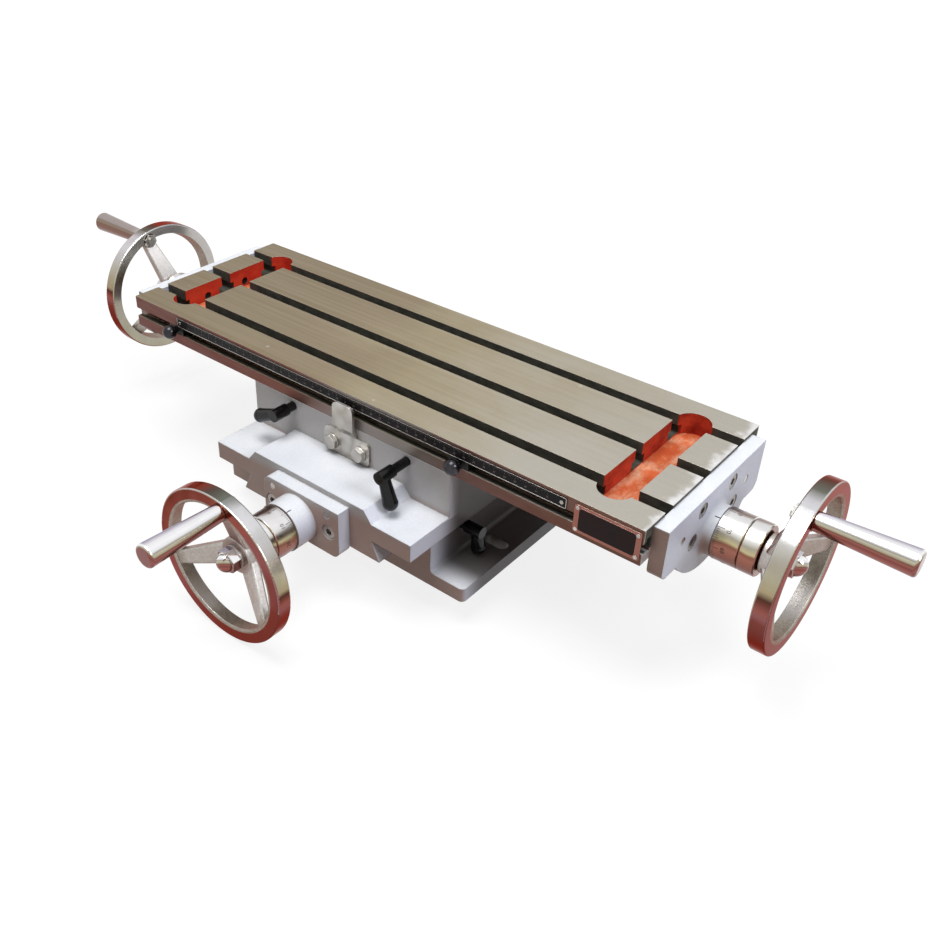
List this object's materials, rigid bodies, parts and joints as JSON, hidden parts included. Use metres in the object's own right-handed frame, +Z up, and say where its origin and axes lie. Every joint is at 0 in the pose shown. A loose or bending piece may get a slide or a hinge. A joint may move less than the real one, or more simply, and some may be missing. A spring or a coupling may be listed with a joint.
{
  "type": "cross slide table",
  "caption": "Machine cross slide table: slotted steel table on two dovetail slides, moved by feed screws with spoked handwheels, graduated dials and lock levers.",
  "frame": {"origin": "centre of the base's underside, with both slides at the pictured rest place", "axes": "+Z up out of the table's slotted face; +X along the table's travel, towards the end with the name plate; the operator and the front handwheel are on the -Y side"},
  "size_m": [0.9124, 0.4352, 0.1958],
  "materials": {
    "casting_paint": "light grey machine enamel, slightly uneven",
    "ground_steel": "fine ground, satin",
    "cast_iron": "scraped",
    "bronze": "machined bronze",
    "screw_steel": "turned and ground",
    "black_screws": "black oxide, satin",
    "dowel_steel": "ground pin ends, bright",
    "dial_steel": "satin chrome, engraved",
    "polished_steel": "polished",
    "handwheel": "polished rim, rough cast spokes and hub",
    "bright_zinc": "bright zinc plating",
    "black_lever": "gloss black",
    "black_scale": "black anodised, bright engraved lines",
    "bare_plate": "thin plate, bare",
    "dog_steel": "machined",
    "dog_knob": "black ball knob on a steel stem"
  },
  "bodies": {
    "base": {"base": "casting_paint", "y_gib": "cast_iron", "y_gib_screws": "black_screws", "y_nut": "bronze", "y_nut_screws": "black_screws"},
    "saddle": {"saddle": "casting_paint", "x_gib": "cast_iron", "x_gib_screws": "black_screws", "x_nut": "bronze", "x_nut_screws": "black_screws", "front_bracket": "casting_paint", "front_bracket_screws": "black_screws", "front_bracket_dowels": "dowel_steel", "y_bush": "bronze", "index_bracket": "bright_zinc", "index_bolts": "bright_zinc"},
    "table": {"table": "ground_steel", "right_bracket": "casting_paint", "left_bracket": "casting_paint", "table_bracket_screws": "black_screws", "table_bracket_dowels": "dowel_steel", "x_bushes": "bronze", "scale_strip": "black_scale", "name_plate": "bare_plate", "trim_pins": "bright_zinc"},
    "x_screw": {"x_lead_screw": "screw_steel", "right_dial_collar": "dial_steel", "left_dial_collar": "dial_steel", "right_handwheel": "handwheel", "left_handwheel": "handwheel", "x_wheel_keys": "screw_steel", "x_hub_washers": "bright_zinc", "x_hub_nuts": "bright_zinc", "x_handle_studs": "screw_steel", "x_snap_rings": "screw_steel", "x_stud_nuts": "bright_zinc"},
    "y_screw": {"y_lead_screw": "screw_steel", "front_dial_collar": "dial_steel", "front_handwheel": "handwheel", "y_wheel_key": "screw_steel", "y_hub_washer": "bright_zinc", "y_hub_nut": "bright_zinc", "y_handle_stud": "screw_steel", "y_snap_ring": "screw_steel", "y_stud_nut": "bright_zinc"},
    "right_dial": {"right_dial_ring": "dial_steel"},
    "left_dial": {"left_dial_ring": "dial_steel"},
    "front_dial": {"front_dial_ring": "dial_steel"},
    "right_grip": {"right_handle": "polished_steel"},
    "left_grip": {"left_handle": "polished_steel"},
    "front_grip": {"front_handle": "polished_steel"},
    "right_lever": {"x_lock_right": "black_lever"},
    "left_lever": {"x_lock_left": "black_lever"},
    "side_lever": {"y_lock": "black_lever"},
    "right_stop": {"right_dog": "dog_steel", "right_dog_screw": "dog_knob"},
    "left_stop": {"left_dog": "dog_steel", "left_dog_screw": "dog_knob"}
  },
  "joints": [
    {"name": "saddle_slide", "type": "slide", "parent": "base", "child": "saddle", "axis": [0, 1, 0], "range_m": [-0.072, 0.072]},
    {"name": "table_slide", "type": "slide", "parent": "saddle", "child": "table", "axis": [1, 0, 0], "range_m": [-0.1, 0.168]},
    {"name": "x_screw_spin", "type": "hinge", "parent": "table", "child": "x_screw", "pos_m": [0, 0, 0.0988], "axis": [1, 0, 0], "range_deg": [-9000, 15120]},
    {"name": "y_screw_spin", "type": "hinge", "parent": "saddle", "child": "y_screw", "pos_m": [0, 0, 0.0466], "axis": [0, 1, 0], "range_deg": [-6480, 6480]},
    {"name": "right_dial_set", "type": "hinge", "parent": "x_screw", "child": "right_dial", "pos_m": [0.3248, 0, 0.0988], "axis": [1, 0, 0], "continuous": true},
    {"name": "left_dial_set", "type": "hinge", "parent": "x_screw", "child": "left_dial", "pos_m": [-0.3248, 0, 0.0988], "axis": [1, 0, 0], "continuous": true},
    {"name": "front_dial_set", "type": "hinge", "parent": "y_screw", "child": "front_dial", "pos_m": [0, -0.1908, 0.0466], "axis": [0, 1, 0], "continuous": true},
    {"name": "right_grip_spin", "type": "hinge", "parent": "x_screw", "child": "right_grip", "pos_m": [0.4218, -0.02053, 0.15677], "axis": [1, 0, 0], "continuous": true},
    {"name": "left_grip_spin", "type": "hinge", "parent": "x_screw", "child": "left_grip", "pos_m": [-0.4218, -0.01488, 0.15847], "axis": [1, 0, 0], "continuous": true},
    {"name": "front_grip_spin", "type": "hinge", "parent": "y_screw", "child": "front_grip", "pos_m": [0.00983, -0.2873, 0.10731], "axis": [0, 1, 0], "continuous": true},
    {"name": "right_lever_turn", "type": "hinge", "parent": "saddle", "child": "right_lever", "pos_m": [0.07, -0.095, 0.1045], "axis": [0, -1, 0], "range_deg": [0, 80]},
    {"name": "left_lever_turn", "type": "hinge", "parent": "saddle", "child": "left_lever", "pos_m": [-0.067, -0.095, 0.1045], "axis": [0, -1, 0], "range_deg": [-40, 45]},
    {"name": "side_lever_turn", "type": "hinge", "parent": "base", "child": "side_lever", "pos_m": [0.1106, -0.066, 0.042], "axis": [1, 0, 0], "range_deg": [-60, 50]},
    {"name": "right_stop_slide", "type": "slide", "parent": "table", "child": "right_stop", "axis": [1, 0, 0], "range_m": [0, 0.1]},
    {"name": "left_stop_slide", "type": "slide", "parent": "table", "child": "left_stop", "axis": [1, 0, 0], "range_m": [-0.05, 0]}
  ],
  "couplings": [
    {"joint": "table_slide", "follows": "x_screw_spin", "m_per_rad": 0.00063662},
    {"joint": "saddle_slide", "follows": "y_screw_spin", "m_per_rad": 0.00063662}
  ]
}
